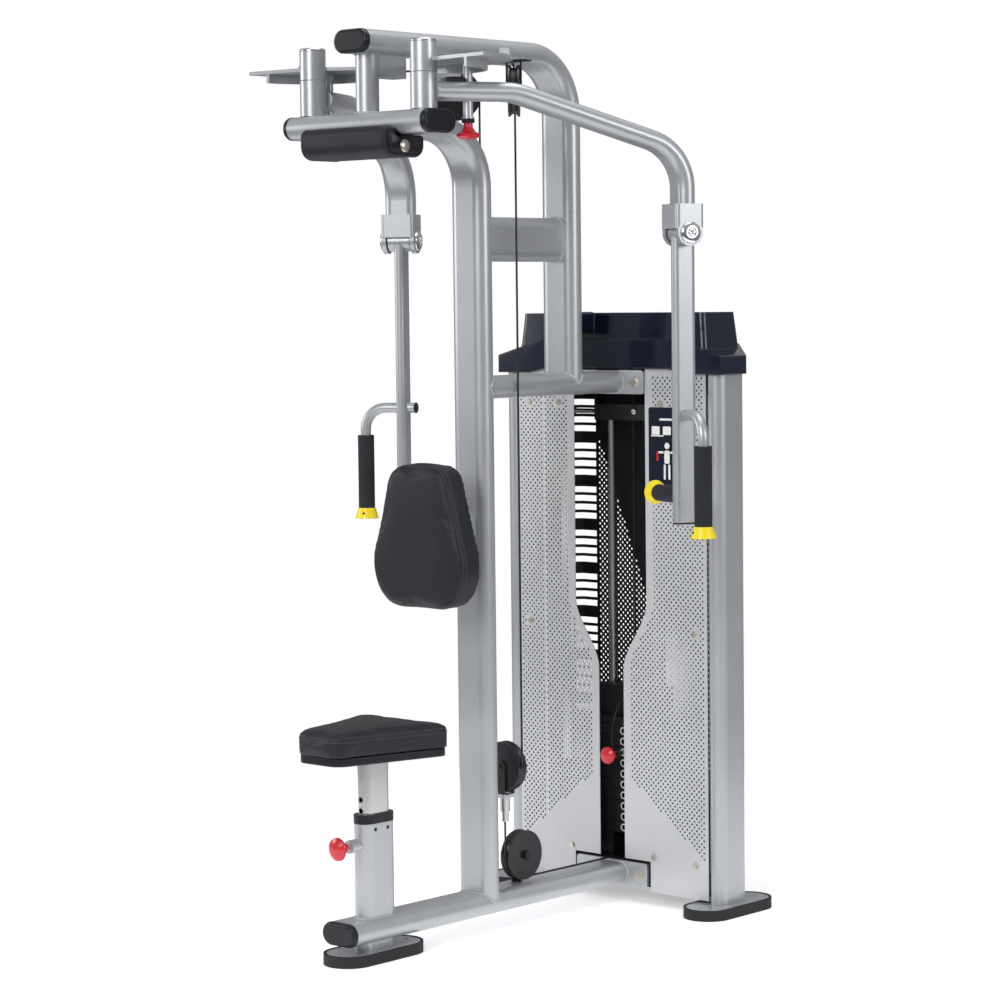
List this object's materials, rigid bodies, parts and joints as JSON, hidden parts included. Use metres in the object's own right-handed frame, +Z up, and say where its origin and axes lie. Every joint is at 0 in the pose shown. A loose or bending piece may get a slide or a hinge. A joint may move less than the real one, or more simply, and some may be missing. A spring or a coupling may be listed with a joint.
{
  "type": "pec deck machine",
  "caption": "Selectorised pec and rear-delt machine: two hanging arms on cams, cable-lifted weight stack, padded seat and back pad.",
  "frame": {"origin": "on the floor under the middle of the machine's box", "axes": "+Z up, -Y towards the front, where the seat is; +X to the side of the right-hand arm as seen from the front"},
  "size_m": [1.111, 1.1827, 2.046],
  "materials": {
    "silver_paint": "metallic powder coat, satin",
    "shroud_silver": "metallic powder coat on perforated sheet",
    "black_plastic": "satin moulded",
    "rubber": "matt",
    "vinyl": "fine-grained upholstery vinyl",
    "yellow_plastic": "smooth moulded",
    "grip_foam": "matt",
    "red_plastic": "smooth moulded",
    "bright_steel": "polished",
    "chrome": "polished",
    "zinc": "zinc plated",
    "pulley_nylon": "turned nylon",
    "black_steel": "black powder coat",
    "cable_sheath": "nylon-coated wire rope",
    "cover_plastic": "glossy vacuum-formed"
  },
  "bodies": {
    "frame": {"base_tube": "silver_paint", "main_upright": "silver_paint", "crossbar": "silver_paint", "crossbar_post": "silver_paint", "rear_upright": "silver_paint", "bridge_tube": "silver_paint", "link_tube": "silver_paint", "end_caps": "black_plastic", "foot_plates": "silver_paint", "foot_rubbers": "rubber", "seat_sleeve": "silver_paint", "sleeve_collar": "black_plastic", "back_pad": "vinyl", "back_pad_bracket": "silver_paint", "head_pad": "vinyl", "tower_uprights": "silver_paint", "tower_beams": "black_steel", "right_shroud": "shroud_silver", "left_shroud": "shroud_silver", "rear_shroud": "black_steel", "fasteners": "zinc", "top_cover": "cover_plastic", "guide_rods": "bright_steel", "resting_plates": "black_steel", "pivot_shafts": "bright_steel", "pulley_brackets": "black_steel", "arm_cable_runs": "cable_sheath", "floating_cable_runs": "cable_sheath", "block_cable": "cable_sheath", "tower_cable": "cable_sheath", "stack_cable": "cable_sheath"},
    "right_cam": {"right_cam": "silver_paint"},
    "right_arm": {"right_arm": "silver_paint", "right_hinge_bolt": "chrome"},
    "right_pull_pin": {"right_pull_pin": "red_plastic"},
    "right_lower_arm": {"right_lower_arm": "silver_paint", "right_grips": "grip_foam", "right_grip_collars": "yellow_plastic"},
    "right_top_pulley": {"right_top_pulley": "pulley_nylon"},
    "left_cam": {"left_cam": "silver_paint"},
    "left_arm": {"left_arm": "silver_paint", "left_hinge_bolt": "chrome"},
    "left_pull_pin": {"left_pull_pin": "red_plastic"},
    "left_lower_arm": {"left_lower_arm": "silver_paint", "left_grips": "grip_foam", "left_grip_collars": "yellow_plastic"},
    "left_top_pulley": {"left_top_pulley": "pulley_nylon"},
    "seat": {"seat_cushion": "vinyl", "seat_post": "bright_steel"},
    "seat_pin": {"seat_pin": "red_plastic"},
    "floating_block": {"floating_yoke": "black_steel"},
    "floating_pulley": {"floating_pulley": "pulley_nylon"},
    "base_pulley": {"base_pulley": "pulley_nylon"},
    "tower_lower_pulley": {"tower_lower_pulley": "pulley_nylon"},
    "tower_upper_pulley": {"tower_upper_pulley": "pulley_nylon"},
    "carriage": {"head_plate": "black_steel", "lifted_plates": "black_steel", "lanyard": "cable_sheath"},
    "selector_pin": {"selector_pin": "red_plastic"},
    "increment_pin": {"increment_pin": "black_steel"}
  },
  "joints": [
    {"name": "right_cam_swing", "type": "hinge", "parent": "frame", "child": "right_cam", "pos_m": [0.1705, -0.3995, 1.95], "axis": [0, 0, 1], "range_deg": [-95, 0]},
    {"name": "left_cam_swing", "type": "hinge", "parent": "frame", "child": "left_cam", "pos_m": [-0.1705, -0.3995, 1.95], "axis": [0, 0, 1], "range_deg": [0, 95]},
    {"name": "right_arm_adjust", "type": "hinge", "parent": "right_cam", "child": "right_arm", "pos_m": [0.1705, -0.3995, 1.9], "axis": [0, 0, 1], "range_deg": [-50, 0]},
    {"name": "left_arm_adjust", "type": "hinge", "parent": "left_cam", "child": "left_arm", "pos_m": [-0.1705, -0.3995, 1.9], "axis": [0, 0, 1], "range_deg": [0, 50]},
    {"name": "right_pull_pin_slide", "type": "slide", "parent": "right_arm", "child": "right_pull_pin", "axis": [0, 0, 1], "range_m": [0, 0.008]},
    {"name": "right_lower_arm_swing", "type": "hinge", "parent": "right_arm", "child": "right_lower_arm", "pos_m": [0.43791, 0.14876, 1.6], "axis": [-0.8988, 0.4384, 0], "range_deg": [-10, 25]},
    {"name": "left_pull_pin_slide", "type": "slide", "parent": "left_arm", "child": "left_pull_pin", "axis": [0, 0, 1], "range_m": [0, 0.008]},
    {"name": "left_lower_arm_swing", "type": "hinge", "parent": "left_arm", "child": "left_lower_arm", "pos_m": [-0.43791, 0.14876, 1.6], "axis": [-0.8988, -0.4384, 0], "range_deg": [-10, 25]},
    {"name": "seat_height", "type": "slide", "parent": "frame", "child": "seat", "axis": [0, 0, 1], "range_m": [-0.05, 0.1]},
    {"name": "seat_pin_slide", "type": "slide", "parent": "frame", "child": "seat_pin", "axis": [0, 1, 0], "range_m": [0, 0.008]},
    {"name": "floating_block_rise", "type": "slide", "parent": "frame", "child": "floating_block", "axis": [0, 0, 1], "range_m": [0, 0.305], "deforming": ["floating_cable_runs", "block_cable"]},
    {"name": "floating_pulley_spin", "type": "hinge", "parent": "floating_block", "child": "floating_pulley", "pos_m": [0, 0.02, 0.373], "axis": [0, 1, 0], "continuous": true},
    {"name": "right_top_pulley_spin", "type": "hinge", "parent": "frame", "child": "right_top_pulley", "pos_m": [0.09055, -0.02197, 1.926], "axis": [0.7631, 0.6463, 0], "range_deg": [0, 318]},
    {"name": "left_top_pulley_spin", "type": "hinge", "parent": "frame", "child": "left_top_pulley", "pos_m": [-0.09055, -0.02197, 1.926], "axis": [0.7631, -0.6463, 0], "range_deg": [0, 318]},
    {"name": "base_pulley_spin", "type": "hinge", "parent": "frame", "child": "base_pulley", "pos_m": [0, 0.075, 0.157], "axis": [1, 0, 0], "range_deg": [-318, 0]},
    {"name": "tower_lower_pulley_spin", "type": "hinge", "parent": "frame", "child": "tower_lower_pulley", "pos_m": [0, 0.54, 0.124], "axis": [1, 0, 0], "range_deg": [-792, 0]},
    {"name": "tower_upper_pulley_spin", "type": "hinge", "parent": "frame", "child": "tower_upper_pulley", "pos_m": [0, 0.531, 1.316], "axis": [1, 0, 0], "range_deg": [-562, 0]},
    {"name": "stack_lift", "type": "slide", "parent": "frame", "child": "carriage", "axis": [0, 0, 1], "range_m": [0, 0.305], "deforming": ["stack_cable"]},
    {"name": "selector_pin_slide", "type": "slide", "parent": "carriage", "child": "selector_pin", "axis": [0, -1, 0], "range_m": [0, 0.1]},
    {"name": "increment_pin_slide", "type": "slide", "parent": "frame", "child": "increment_pin", "axis": [-1, 0, 0], "range_m": [0, 0.012]}
  ],
  "couplings": [
    {"joint": "left_cam_swing", "follows": "right_cam_swing", "ratio": -1},
    {"joint": "floating_block_rise", "follows": "right_cam_swing", "m_per_rad": -0.183},
    {"joint": "stack_lift", "follows": "right_cam_swing", "m_per_rad": -0.183},
    {"joint": "right_top_pulley_spin", "follows": "right_cam_swing", "ratio": -3.3273},
    {"joint": "left_top_pulley_spin", "follows": "right_cam_swing", "ratio": -3.3273},
    {"joint": "base_pulley_spin", "follows": "right_cam_swing", "ratio": 3.3273},
    {"joint": "tower_lower_pulley_spin", "follows": "right_cam_swing", "ratio": 8.3182},
    {"joint": "tower_upper_pulley_spin", "follows": "right_cam_swing", "ratio": 5.9032}
  ]
}
